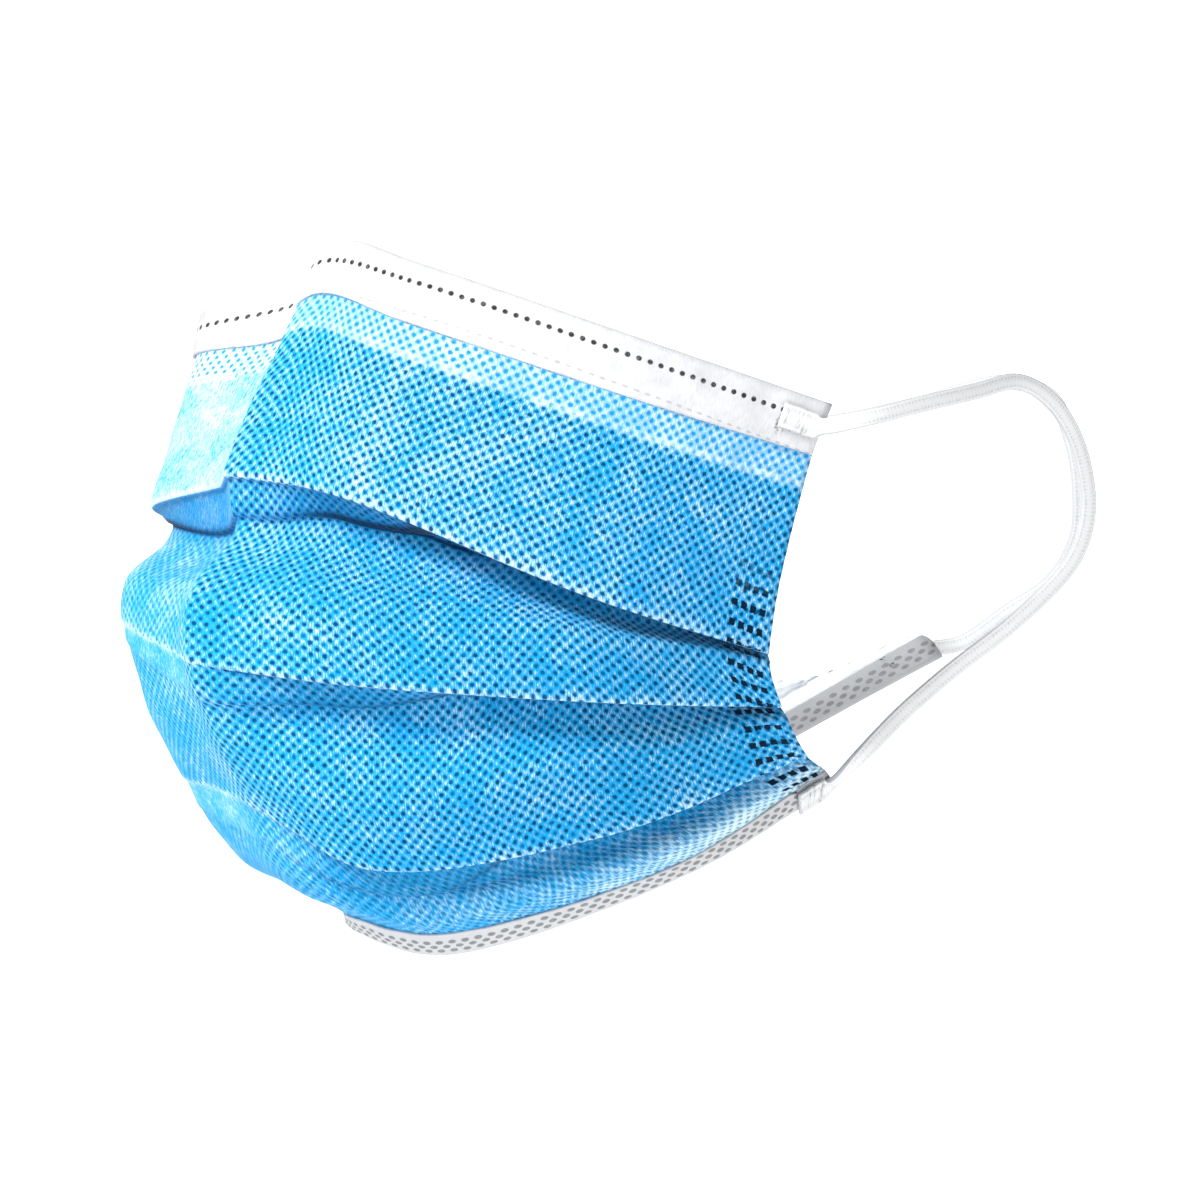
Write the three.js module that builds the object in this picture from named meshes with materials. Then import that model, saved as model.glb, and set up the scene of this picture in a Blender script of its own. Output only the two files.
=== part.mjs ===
import * as THREE from "three";

// A pleated ear-loop face mask, held open as it is when worn. Millimetres, +Z up, the wearer faces -Y,
// and the wearer's left is +X. The origin is where the inside of the top hem sits on the bridge of the nose.

// Driving sizes
const halfBreadth = 50; // middle of the nose fold to the outermost cheek
const maskDepth = 100; // nose fold to the furthest corner
const maskHeight = 100; // nose fold to the chin
const clothThickness = 1; // the three plies together
const clearance = 0.35; // air between two layers or pieces that touch
const pleatTuck = 6; // how far a closed pleat is tucked up behind its edge
const pleatLedge = 4; // how far an opened pleat steps in under its edge
const wireWidth = 3.2;
const wireThickness = 1;
const wireLength = 96; // the nose wire, half of it on each side of the middle fold
const strapWidth = 2.3;
const strapThickness = 1;
const tabWidth = 3.8; // the welded end of an ear loop
const tabLength = 6;
const weldShares = [0.24, 0.14, 0.03]; // where that end lies, in columns from the side edge of the cloth
const tabTaper = 1; // the last part of that length, in which it narrows to the strap
const twistLength = 18; // from a welded end to where the strap faces sideways

// The main folds, from the top edge to the bottom edge. Each place is out, back and up, as shares of
// halfBreadth, maskDepth and maskHeight. The columns run from the wearer's right edge to the left edge.
const columns = ["farEdge", "farBack", "farCheek", "farFront", "ridge", "nearFront", "nearCheek", "nearEdge"];
const folds = {
  topEdge: {
    farEdge: [-0.7, 0.51, -0.27], farBack: [-0.895, 0.23, -0.185],
    farCheek: [-0.785, -0.085, -0.09], farFront: [-0.24, -0.005, -0.055],
    ridge: [-0.02, 0, 0], nearFront: [0.13, 0.09, -0.035],
    nearCheek: [0.505, 0.37, -0.15], nearEdge: [0.69, 0.6, -0.235],
  },
  hemLine: {
    farEdge: [-0.73, 0.515, -0.325], farBack: [-0.945, 0.22, -0.25],
    farCheek: [-0.815, -0.095, -0.155], farFront: [-0.265, -0.04, -0.13],
    ridge: [-0.04, -0.025, -0.075], nearFront: [0.165, 0.055, -0.115],
    nearCheek: [0.545, 0.34, -0.23], nearEdge: [0.69, 0.57, -0.305],
  },
  pleat1: {
    farEdge: [-0.79, 0.535, -0.48], farBack: [-0.97, 0.13, -0.445],
    farCheek: [-0.8, -0.165, -0.375], farFront: [-0.32, -0.145, -0.345],
    ridge: [-0.055, -0.13, -0.335], nearFront: [0.225, -0.045, -0.36],
    nearCheek: [0.61, 0.255, -0.5], nearEdge: [0.67, 0.51, -0.58],
  },
  pleat2: {
    farEdge: [-0.79, 0.615, -0.565], farBack: [-0.98, 0.115, -0.6],
    farCheek: [-0.71, -0.22, -0.535], farFront: [-0.285, -0.215, -0.575],
    ridge: [-0.02, -0.2, -0.595], nearFront: [0.31, -0.07, -0.62],
    nearCheek: [0.63, 0.255, -0.645], nearEdge: [0.59, 0.545, -0.655],
  },
  pleat3: {
    farEdge: [-0.705, 0.74, -0.625], farBack: [-0.87, 0.21, -0.79],
    farCheek: [-0.54, -0.155, -0.76], farFront: [-0.27, -0.14, -0.775],
    ridge: [-0.04, -0.115, -0.8], nearFront: [0.255, -0.005, -0.88],
    nearCheek: [0.555, 0.295, -0.83], nearEdge: [0.5, 0.6, -0.725],
  },
  chinBend: {
    farEdge: [-0.64, 0.82, -0.635], farBack: [-0.72, 0.385, -0.83],
    farCheek: [-0.44, -0.08, -0.875], farFront: [-0.195, -0.09, -0.885],
    ridge: [0.005, -0.08, -0.9], nearFront: [0.285, 0.04, -0.935],
    nearCheek: [0.545, 0.34, -0.865], nearEdge: [0.45, 0.62, -0.735],
  },
  chinLine: {
    farEdge: [-0.55, 0.995, -0.56], farBack: [-0.56, 0.515, -0.805],
    farCheek: [-0.405, 0.15, -0.935], farFront: [-0.19, 0.035, -0.945],
    ridge: [-0.05, 0.02, -0.95], nearFront: [0.205, 0.105, -0.97],
    nearCheek: [0.48, 0.4, -0.875], nearEdge: [0.405, 0.645, -0.745],
  },
  bottomEdge: {
    farEdge: [-0.53, 1.025, -0.59], farBack: [-0.605, 0.545, -0.83],
    farCheek: [-0.465, 0.18, -0.955], farFront: [-0.26, 0.055, -0.96],
    ridge: [-0.095, 0.045, -0.975], nearFront: [0.155, 0.125, -1],
    nearCheek: [0.435, 0.42, -0.89], nearEdge: [0.355, 0.665, -0.77],
  },
};

// How each pleat lies at each column: tuck is a share of pleatTuck, below nought where the pleat has opened,
// and ledge is a share of pleatLedge.
const pleats = {
  pleat1: {
    tuck: {
      farEdge: 1, farBack: 0.9, farCheek: -0.2, farFront: -0.85,
      ridge: -0.75, nearFront: -0.35, nearCheek: 0.9, nearEdge: 1,
    },
    ledge: {
      farEdge: 0.73, farBack: 0.75, farCheek: 1, farFront: 1.2,
      ridge: 1.1, nearFront: 1.35, nearCheek: 1.15, nearEdge: 0.73,
    },
  },
  pleat2: {
    tuck: {
      farEdge: 1, farBack: 0.8, farCheek: -0.5, farFront: -0.8,
      ridge: -0.9, nearFront: -0.6, nearCheek: 0.7, nearEdge: 1,
    },
    ledge: {
      farEdge: 0.73, farBack: 0.45, farCheek: 0.15, farFront: 0.1,
      ridge: 0.2, nearFront: 1, nearCheek: 1, nearEdge: 0.73,
    },
  },
  pleat3: {
    tuck: {
      farEdge: 1, farBack: 0.7, farCheek: -0.8, farFront: -1,
      ridge: -1, nearFront: -0.9, nearCheek: 0.5, nearEdge: 1,
    },
    ledge: {
      farEdge: 0.73, farBack: 0.4, farCheek: 0.12, farFront: 0.08,
      ridge: 0.1, nearFront: 0.7, nearCheek: 0.95, nearEdge: 0.73,
    },
  },
};

// The ear loops between their welded ends, as out, back and up shares like the folds.
const nearLoop = [
  [0.795, 0.625, -0.255], [0.81, 0.705, -0.235], [0.79, 0.795, -0.215], [0.755, 0.865, -0.2],
  [0.715, 0.92, -0.22], [0.68, 0.965, -0.265], [0.66, 0.99, -0.32], [0.64, 1, -0.385],
  [0.625, 0.98, -0.45], [0.59, 0.9, -0.535], [0.53, 0.815, -0.605], [0.505, 0.745, -0.665],
  [0.485, 0.68, -0.73],
];
const farLoop = [
  [-0.745, 0.58, -0.28], [-0.705, 0.67, -0.262], [-0.58, 0.87, -0.238], [-0.5, 0.98, -0.212],
  [-0.37, 1.1, -0.18], [-0.31, 1.155, -0.203], [-0.27, 1.18, -0.27], [-0.26, 1.19, -0.345],
  [-0.285, 1.19, -0.415], [-0.365, 1.165, -0.48], [-0.465, 1.115, -0.525], [-0.565, 1.065, -0.57],
];

// How finely the pieces are meshed
const stationsPerColumn = 5;
const lengthSteps = 12; // between two folds, to measure along the cloth
const columnStep = 0.02; // a step across the cloth, in columns, to work out which way it faces
const nearestEnd = 0.002; // how near an end of a line that is worked out, as a share of the line
const mitreLimit = 2; // the longest corner of a wall, in half thicknesses
const easedBy = 0.65; // the share of a panel in which it comes forward again from under a pleat
const firstPanelPoints = 6;
const panelSteps = 5;
const lastPanelSteps = 8;
const hemPoints = 4;
const strapSteps = 48;

const layerStep = clothThickness + clearance;
const lastColumn = columns.length - 1;
const lastFold = Object.keys(folds).length - 1;
const foldNames = Object.keys(folds);

const place = ([out, back, up]) => new THREE.Vector3(out * halfBreadth, back * maskDepth, up * maskHeight);
const foldCurves = Object.values(folds).map(
  (fold) => new THREE.CatmullRomCurve3(columns.map((name) => place(fold[name]))),
);

// The line down the cloth at a column number, which need not be whole.
function lineDown(column) {
  const share = THREE.MathUtils.clamp(column / lastColumn, 0, 1);
  return new THREE.CatmullRomCurve3(foldCurves.map((curve) => curve.getPoint(share)));
}

// The cloth at one column, with its places found from the distance down it and the distance out from it.
class ClothLine {
  constructor(column) {
    this.column = column;
    this.line = lineDown(column);
    this.before = lineDown(column - columnStep);
    this.after = lineDown(column + columnStep);
    this.lengths = this.line.getLengths(lastFold * lengthSteps);
  }

  down(fold) {
    return this.lengths[foldNames.indexOf(fold) * lengthSteps];
  }

  shareAt(distance) {
    const { lengths } = this;
    const last = lengths.length - 1;
    let step = 0;
    while (step < last - 1 && lengths[step + 1] < distance) step += 1;
    const within = (distance - lengths[step]) / (lengths[step + 1] - lengths[step]);
    return (step + within) / last;
  }

  at(distance, out) {
    const share = THREE.MathUtils.clamp(this.shareAt(distance), nearestEnd, 1 - nearestEnd);
    const downwards = this.line.getTangent(share);
    const sideways = this.after.getPoint(share).sub(this.before.getPoint(share));
    const facing = downwards.cross(sideways).normalize();
    return this.line.getPoint(share).addScaledVector(facing, out);
  }
}

// A value from a row with a number for each column, eased between the columns.
function eased(row, column) {
  const left = Math.min(Math.floor(column), lastColumn - 1);
  const blend = THREE.MathUtils.smoothstep(column - left, 0, 1);
  return THREE.MathUtils.lerp(row[columns[left]], row[columns[left + 1]], blend);
}

// Points of a wall's section, as [distance down, distance out], moved sideways by half the wall.
function offsetPath(path, side) {
  const half = (side * clothThickness) / 2;
  const normal = (from, to) => {
    const along = new THREE.Vector2(to[0] - from[0], to[1] - from[1]).normalize();
    return new THREE.Vector2(-along.y, along.x);
  };
  return path.map((point, i) => {
    const one = normal(path[Math.max(i - 1, 0)], path[Math.max(i, 1)]);
    const two = normal(path[Math.min(i, path.length - 2)], path[Math.min(i + 1, path.length - 1)]);
    const middle = one.clone().add(two).normalize();
    const reach = half * Math.min(1 / middle.dot(one), mitreLimit);
    return [point[0] + middle.x * reach, point[1] + middle.y * reach];
  });
}

// A closed solid from rings of equally many points, with both ends closed by a strip across the ring.
function solidFromRings(rings) {
  const count = rings[0].length;
  const positions = rings.flat().flatMap((point) => point.toArray());
  const faces = [];
  const quad = (a, b, c, d) => faces.push(a, b, c, a, c, d);
  for (let ring = 0; ring < rings.length - 1; ring += 1)
    for (let i = 0; i < count; i += 1) {
      const next = (i + 1) % count;
      quad(ring * count + i, ring * count + next, (ring + 1) * count + next, (ring + 1) * count + i);
    }
  const end = (rings.length - 1) * count;
  for (let i = 0; i < count / 2 - 1; i += 1) {
    const across = count - 1 - i;
    quad(i, across, across - 1, i + 1);
    quad(end + i, end + i + 1, end + across - 1, end + across);
  }
  const geometry = new THREE.BufferGeometry();
  geometry.setAttribute("position", new THREE.Float32BufferAttribute(positions, 3));
  geometry.setIndex(faces);
  geometry.computeVertexNormals();
  return geometry;
}

const clothLines = [];
for (let i = 0; i <= lastColumn * stationsPerColumn; i += 1)
  clothLines.push(new ClothLine(i / stationsPerColumn));

// A wall whose section is worked out at each cloth line.
function wallAcross(lines, pathAt) {
  const rings = lines.map((line) => {
    const path = pathAt(line);
    const outside = offsetPath(path, 1);
    const inside = offsetPath(path, -1).reverse();
    return [...outside, ...inside].map(([distance, out]) => line.at(distance, out));
  });
  return solidFromRings(rings);
}

const hemReach = layerStep; // the hem's walls lie one layer out from the cloth on both sides
const crownShare = 0.6; // how flat the hem's folded edge is
const hemEnd = clothThickness + clearance; // from the edge of a hem to the end of what it holds
const bodyTop = hemEnd + wireWidth + clearance;

const between = (from, to, count) =>
  Array.from({ length: count }, (_, i) => from + ((to - from) * i) / (count - 1));

// One pleat's two turns: down to the edge, back up behind it, and down again.
function pleatTurns(line, fold) {
  const edge = line.down(fold);
  const tuck = eased(pleats[fold].tuck, line.column) * pleatTuck;
  const closed = THREE.MathUtils.smoothstep(tuck, 0, pleatTuck / 2);
  const layered = THREE.MathUtils.smoothstep(tuck, -pleatTuck / 2, 0);
  const depth = Math.max(eased(pleats[fold].ledge, line.column) * pleatLedge, 2 * layerStep * layered);
  const step = Math.min(layerStep, depth / 2);
  const turn = layerStep / 2;
  const spread = turn * (1 - step / layerStep); // a pleat that is nearly flat has no sharp turn
  const valley = edge - tuck;
  return {
    edge,
    valley,
    depth,
    tuck,
    points: [
      [edge - turn, 0],
      [edge, -step / 2],
      [edge - turn * closed + spread, -step],
      [valley + turn * closed - spread, -depth + step],
      [valley, -depth + step / 2],
      [valley + turn, -depth],
    ],
  };
}

// A panel from under one pleat to the edge of the next: behind the pleat it lies deep, and then it eases out.
function panel(from, to, depth, steps) {
  const full = THREE.MathUtils.lerp(from, to, easedBy);
  return between(from, to, steps + 1).slice(1).map((at) => {
    const share = THREE.MathUtils.smoothstep(at, from, full);
    return [at, -depth * (1 - share)];
  });
}

function bodyPath(line) {
  const turns = Object.keys(pleats).map((fold) => pleatTurns(line, fold));
  const end = line.down("bottomEdge") - hemEnd;
  const hidden = (pleat) => Math.max(pleat.tuck, 0);
  const firstStop = turns[0].edge - hidden(turns[0]) - layerStep;
  const path = between(bodyTop, firstStop, firstPanelPoints).map((at) => [at, 0]);
  turns.forEach((pleat, i) => {
    path.push(...pleat.points);
    const next = turns[i + 1];
    const from = Math.max(pleat.edge, pleat.valley + layerStep) + clothThickness / 2;
    const stop = next ? next.edge - hidden(next) - layerStep : line.down("chinLine");
    const to = Math.max(stop, from + layerStep);
    const steps = next ? panelSteps : lastPanelSteps;
    path.push([from, -pleat.depth], ...panel(from, to, pleat.depth, steps));
  });
  path.push([(line.down("chinLine") + end) / 2, 0], [end, 0]);
  return path;
}

// A hem is folded over an edge of the cloth: down the outside, round the edge and back up the inside.
function hemPath(edge, line, towards) {
  const crown = edge + (towards * clothThickness) / 2;
  const walls = between(line, edge + towards * clothThickness, hemPoints).map((at) => [at, hemReach]);
  const outer = [...walls, [crown, hemReach * crownShare]];
  return [...outer, ...outer.map(([at, out]) => [at, -out]).reverse()];
}

const topHemPath = (line) => hemPath(0, line.down("hemLine"), 1).reverse();
const bottomHemPath = (line) => hemPath(line.down("bottomEdge"), line.down("chinLine"), -1);

// The nose wire lies in the pocket of the top hem, above the edge of the cloth.
function noseWire() {
  const lengths = foldCurves[0].getLengths(lastColumn * lengthSteps);
  const middle = lengths[columns.indexOf("ridge") * lengthSteps];
  const columnAt = (distance) => lengths.findIndex((length) => length >= distance) / lengthSteps;
  const [from, to] = [-1, 1].map((side) => columnAt(middle + (side * wireLength) / 2));
  const whole = clothLines.filter(({ column }) => column > from && column < to);
  const half = wireThickness / 2;
  const rings = [new ClothLine(from), ...whole, new ClothLine(to)].map((line) =>
    [[hemEnd, half], [hemEnd + wireWidth, half], [hemEnd + wireWidth, -half], [hemEnd, -half]].map(
      ([distance, out]) => line.at(distance, out),
    ),
  );
  return solidFromRings(rings);
}

// An ear loop is a flat strap. It lies on the outside of both hems, and its ends are wider where they
// are welded.
function earLoop(edgeColumn, route, flatWay) {
  const outside = hemReach + clothThickness / 2 + clearance + strapThickness / 2;
  const inwards = Math.sign(lastColumn / 2 - edgeColumn);
  const onHem = (share, from, to, out) => {
    const line = new ClothLine(edgeColumn + inwards * share);
    return line.at((line.down(from) + line.down(to)) / 2, out);
  };
  const start = weldShares.map((share) => onHem(share, "topEdge", "hemLine", outside));
  const end = weldShares.map((share) => onHem(share, "chinLine", "bottomEdge", outside)).reverse();
  const facing = (from, to) => {
    const [under, over] = [0, outside].map((out) => onHem(weldShares[1], from, to, out));
    return over.sub(under).normalize();
  };
  const faces = [facing("topEdge", "hemLine"), facing("chinLine", "bottomEdge")];
  const curve = new THREE.CatmullRomCurve3([...start, ...route.map(place), ...end]);
  const length = curve.getLength();
  const rings = between(0, 1, strapSteps + 1).map((share) => {
    const middle = curve.getPointAt(share);
    const along = curve.getTangentAt(share);
    const fromEnd = Math.min(share, 1 - share) * length;
    const free = THREE.MathUtils.smoothstep(fromEnd, tabLength, twistLength);
    const nearest = faces[Math.round(share)].clone().lerp(new THREE.Vector3(...flatWay), free);
    const across = new THREE.Vector3().crossVectors(nearest, along).normalize();
    const out = new THREE.Vector3().crossVectors(along, across).normalize();
    const narrowing = THREE.MathUtils.smoothstep(fromEnd, tabLength - tabTaper, tabLength);
    const wide = THREE.MathUtils.lerp(tabWidth, strapWidth, narrowing);
    return [[-1, -1], [1, -1], [1, 1], [-1, 1]].map(([side, face]) =>
      middle
        .clone()
        .addScaledVector(across, (side * wide) / 2)
        .addScaledVector(out, (face * strapThickness) / 2),
    );
  });
  return solidFromRings(rings);
}

const blueCloth = new THREE.MeshStandardMaterial({ color: "#3fa9e8", roughness: 0.85 });
const whiteHem = new THREE.MeshStandardMaterial({ color: "#f1f3f5", roughness: 0.85 });
const bareWire = new THREE.MeshStandardMaterial({ color: "#c9ccd0", roughness: 0.4, metalness: 0.8 });
const elastic = new THREE.MeshStandardMaterial({ color: "#eceef0", roughness: 0.7 });

function piece(name, geometry, material) {
  const mesh = new THREE.Mesh(geometry, material);
  mesh.name = name;
  return mesh;
}

const mask = new THREE.Group();
mask.add(
  piece("mask_body", wallAcross(clothLines, bodyPath), blueCloth),
  piece("top_hem", wallAcross(clothLines, topHemPath), whiteHem),
  piece("bottom_hem", wallAcross(clothLines, bottomHemPath), whiteHem),
  piece("nose_wire", noseWire(), bareWire),
  piece("ear_loop_left", earLoop(lastColumn, nearLoop, [1, 0, 0]), elastic),
  piece("ear_loop_right", earLoop(0, farLoop, [-1, 0, 0]), elastic),
);

const bridge = new ClothLine(columns.indexOf("ridge"));
const seat = bridge.at(bridge.down("hemLine") / 2, -hemReach - clothThickness / 2);
mask.position.copy(seat).negate();

export default mask;
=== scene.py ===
import math

import bpy
import numpy as np
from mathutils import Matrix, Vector


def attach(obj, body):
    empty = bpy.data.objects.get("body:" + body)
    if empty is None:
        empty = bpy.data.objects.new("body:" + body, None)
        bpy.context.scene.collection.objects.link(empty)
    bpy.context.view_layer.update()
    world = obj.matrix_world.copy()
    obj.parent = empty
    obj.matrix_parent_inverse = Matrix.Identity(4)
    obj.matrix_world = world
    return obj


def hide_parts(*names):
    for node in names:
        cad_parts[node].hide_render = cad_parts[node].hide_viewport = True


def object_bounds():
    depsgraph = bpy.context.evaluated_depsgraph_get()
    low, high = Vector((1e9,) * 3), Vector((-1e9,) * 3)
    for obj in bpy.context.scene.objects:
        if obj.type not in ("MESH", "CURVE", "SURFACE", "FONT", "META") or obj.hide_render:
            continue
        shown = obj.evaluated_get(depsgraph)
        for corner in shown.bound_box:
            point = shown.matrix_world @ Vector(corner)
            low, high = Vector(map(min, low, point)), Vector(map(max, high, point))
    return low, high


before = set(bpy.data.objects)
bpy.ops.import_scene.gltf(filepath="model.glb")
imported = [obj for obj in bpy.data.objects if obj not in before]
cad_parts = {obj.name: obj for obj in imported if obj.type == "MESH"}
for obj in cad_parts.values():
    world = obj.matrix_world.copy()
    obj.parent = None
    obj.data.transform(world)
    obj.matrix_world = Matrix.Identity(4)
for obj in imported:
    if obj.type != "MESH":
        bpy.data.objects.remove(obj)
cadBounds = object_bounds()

print("frame loaded")

# Sizes and folds of the mask, in millimetres, as the part has them

mask = {
    "halfBreadth": 50,
    "depth": 100,
    "height": 100,
    "clothThickness": 1,
    "clearance": 0.35,
    "pleatTuck": 6,
    "pleatLedge": 4,
    "strapWidth": 2.3,
    "tabWidth": 3.8,
    "tabLength": 6,
    "tabTaper": 1,
    "twistLength": 18,
}
weldShares = [0.24, 0.14, 0.03]  # how far from the side edge each ear loop is welded on, in columns
layerStep = mask["clothThickness"] + mask["clearance"]
hemEnd = layerStep  # how far the cloth stops short of the hem's folded edge

# The lines that run across the cloth, from the top down. A row has a place for each column: out, back
# and up from the middle of the top edge, as shares of the half breadth, the depth and the height.
columns = ["farEdge", "farBack", "farCheek", "farFront", "ridge", "nearFront", "nearCheek", "nearEdge"]
folds = {
    "topEdge": [
        (-0.7, 0.51, -0.27), (-0.895, 0.23, -0.185), (-0.785, -0.085, -0.09), (-0.24, -0.005, -0.055),
        (-0.02, 0, 0), (0.13, 0.09, -0.035), (0.505, 0.37, -0.15), (0.69, 0.6, -0.235),
    ],
    "hemLine": [
        (-0.73, 0.515, -0.325), (-0.945, 0.22, -0.25), (-0.815, -0.095, -0.155), (-0.265, -0.04, -0.13),
        (-0.04, -0.025, -0.075), (0.165, 0.055, -0.115), (0.545, 0.34, -0.23), (0.69, 0.57, -0.305),
    ],
    "pleat1": [
        (-0.79, 0.535, -0.48), (-0.97, 0.13, -0.445), (-0.8, -0.165, -0.375), (-0.32, -0.145, -0.345),
        (-0.055, -0.13, -0.335), (0.225, -0.045, -0.36), (0.61, 0.255, -0.5), (0.67, 0.51, -0.58),
    ],
    "pleat2": [
        (-0.79, 0.615, -0.565), (-0.98, 0.115, -0.6), (-0.71, -0.22, -0.535), (-0.285, -0.215, -0.575),
        (-0.02, -0.2, -0.595), (0.31, -0.07, -0.62), (0.63, 0.255, -0.645), (0.59, 0.545, -0.655),
    ],
    "pleat3": [
        (-0.705, 0.74, -0.625), (-0.87, 0.21, -0.79), (-0.54, -0.155, -0.76), (-0.27, -0.14, -0.775),
        (-0.04, -0.115, -0.8), (0.255, -0.005, -0.88), (0.555, 0.295, -0.83), (0.5, 0.6, -0.725),
    ],
    "chinBend": [
        (-0.64, 0.82, -0.635), (-0.72, 0.385, -0.83), (-0.44, -0.08, -0.875), (-0.195, -0.09, -0.885),
        (0.005, -0.08, -0.9), (0.285, 0.04, -0.935), (0.545, 0.34, -0.865), (0.45, 0.62, -0.735),
    ],
    "chinLine": [
        (-0.55, 0.995, -0.56), (-0.56, 0.515, -0.805), (-0.405, 0.15, -0.935), (-0.19, 0.035, -0.945),
        (-0.05, 0.02, -0.95), (0.205, 0.105, -0.97), (0.48, 0.4, -0.875), (0.405, 0.645, -0.745),
    ],
    "bottomEdge": [
        (-0.53, 1.025, -0.59), (-0.605, 0.545, -0.83), (-0.465, 0.18, -0.955), (-0.26, 0.055, -0.96),
        (-0.095, 0.045, -0.975), (0.155, 0.125, -1), (0.435, 0.42, -0.89), (0.355, 0.665, -0.77),
    ],
}

# How each pleat lies at each column: its tuck as a share of pleatTuck, below nought where it has opened,
# and its ledge as a share of pleatLedge.
tucks = {
    "pleat1": [1, 0.9, -0.2, -0.85, -0.75, -0.35, 0.9, 1],
    "pleat2": [1, 0.8, -0.5, -0.8, -0.9, -0.6, 0.7, 1],
    "pleat3": [1, 0.7, -0.8, -1, -1, -0.9, 0.5, 1],
}
ledges = {
    "pleat1": [0.73, 0.75, 1, 1.2, 1.1, 1.35, 1.15, 0.73],
    "pleat2": [0.73, 0.45, 0.15, 0.1, 0.2, 1, 1, 0.73],
    "pleat3": [0.73, 0.4, 0.12, 0.08, 0.1, 0.7, 0.95, 0.73],
}

# The ear loops between their welded ends, as the same shares
nearLoop = [
    (0.795, 0.625, -0.255), (0.81, 0.705, -0.235), (0.79, 0.795, -0.215), (0.755, 0.865, -0.2),
    (0.715, 0.92, -0.22), (0.68, 0.965, -0.265), (0.66, 0.99, -0.32), (0.64, 1, -0.385),
    (0.625, 0.98, -0.45), (0.59, 0.9, -0.535), (0.53, 0.815, -0.605), (0.505, 0.745, -0.665),
    (0.485, 0.68, -0.73),
]
farLoop = [
    (-0.745, 0.58, -0.28), (-0.705, 0.67, -0.262), (-0.58, 0.87, -0.238), (-0.5, 0.98, -0.212),
    (-0.37, 1.1, -0.18), (-0.31, 1.155, -0.203), (-0.27, 1.18, -0.27), (-0.26, 1.19, -0.345),
    (-0.285, 1.19, -0.415), (-0.365, 1.165, -0.48), (-0.465, 1.115, -0.525), (-0.565, 1.065, -0.57),
]

lastColumn = len(columns) - 1
foldNames = list(folds)
downSteps = 48  # samples of a line down the cloth between two folds
columnStep = 0.02  # a step across the cloth, in columns, to work out which way it faces
millimetre = 0.001
shareScale = np.array([mask["halfBreadth"], mask["depth"], mask["height"]], float)


def smoothStep(value, low, high):
    share = np.clip((np.asarray(value, float) - low) / (high - low), 0, 1)
    return share * share * (3 - 2 * share)


def mixed(one, other, share):
    return one + (other - one) * share


def splineThrough(places, shares):
    # the centripetal curve through the places, at shares of its places; further axes are other curves
    places = np.asarray(places, float)
    full = np.concatenate([2 * places[:1] - places[1:2], places, 2 * places[-1:] - places[-2:-1]])
    steps = np.linalg.norm(np.diff(full, axis=0), axis=-1, keepdims=True) ** 0.5
    at = np.clip(np.asarray(shares, float), 0, 1) * (len(places) - 1)
    span = np.minimum(at.astype(int), len(places) - 2)
    t = (at - span).reshape((-1,) + (1,) * (full.ndim - 1))
    p0, p1, p2, p3 = (full[span + i] for i in range(4))
    d0, d1, d2 = (steps[span + i] for i in range(3))
    leave = ((p1 - p0) / d0 - (p2 - p0) / (d0 + d1) + (p2 - p1) / d1) * d1
    arrive = ((p2 - p1) / d1 - (p3 - p1) / (d1 + d2) + (p3 - p2) / d2) * d1
    square = 3 * (p2 - p1) - 2 * leave - arrive
    cube = 2 * (p1 - p2) + leave + arrive
    return p1 + leave * t + square * t**2 + cube * t**3


def unit(vectors):
    return vectors / np.maximum(np.linalg.norm(vectors, axis=-1, keepdims=True), 1e-12)


foldPlaces = np.array(list(folds.values()), float) * shareScale


def linesDown(lines):
    atLines = np.stack([splineThrough(row, np.asarray(lines) / lastColumn) for row in foldPlaces])
    return splineThrough(atLines, np.linspace(0, 1, downSteps * (len(foldNames) - 1) + 1))


class Cloth:
    # the middle of the cloth along some column numbers, with places found by their distance down and out

    def __init__(self, lines):
        self.lines = np.asarray(lines, float)
        self.points = linesDown(self.lines).transpose(1, 0, 2)
        across = linesDown(self.lines + columnStep) - linesDown(self.lines - columnStep)
        downwards = np.gradient(self.points, axis=1)
        self.facing = unit(np.cross(downwards, across.transpose(1, 0, 2)))
        spans = np.linalg.norm(np.diff(self.points, axis=1), axis=-1)
        self.reach = np.concatenate([np.zeros((len(self.lines), 1)), np.cumsum(spans, axis=1)], axis=1)

    def down(self, fold):
        return self.reach[:, foldNames.index(fold) * downSteps]

    def lay(self, down, out):
        spots = np.empty(down.shape + (3,))
        for i, reach in enumerate(self.reach):
            for k in range(3):
                middle = np.interp(down[i], reach, self.points[i, :, k])
                spots[i, :, k] = middle + np.interp(down[i], reach, self.facing[i, :, k]) * out[i]
        return spots


def easedRow(row, lines):
    # a row of values, one for each column, eased between the columns
    left = np.minimum(np.asarray(lines).astype(int), lastColumn - 1)
    values = np.array(row, float)
    return mixed(values[left], values[left + 1], smoothStep(lines - left, 0, 1))


# the mask is held at its seat on the nose, inside the top hem, which is where the frame has its origin
bridge = Cloth([columns.index("ridge")])
seatOut = -layerStep - mask["clothThickness"] / 2
seat = bridge.lay(bridge.down("hemLine")[:, None] / 2, np.array([[seatOut]]))[0, 0]
print("seat of the nose, mm:", np.round(seat, 3).tolist())


# Camera, light and floor

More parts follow.
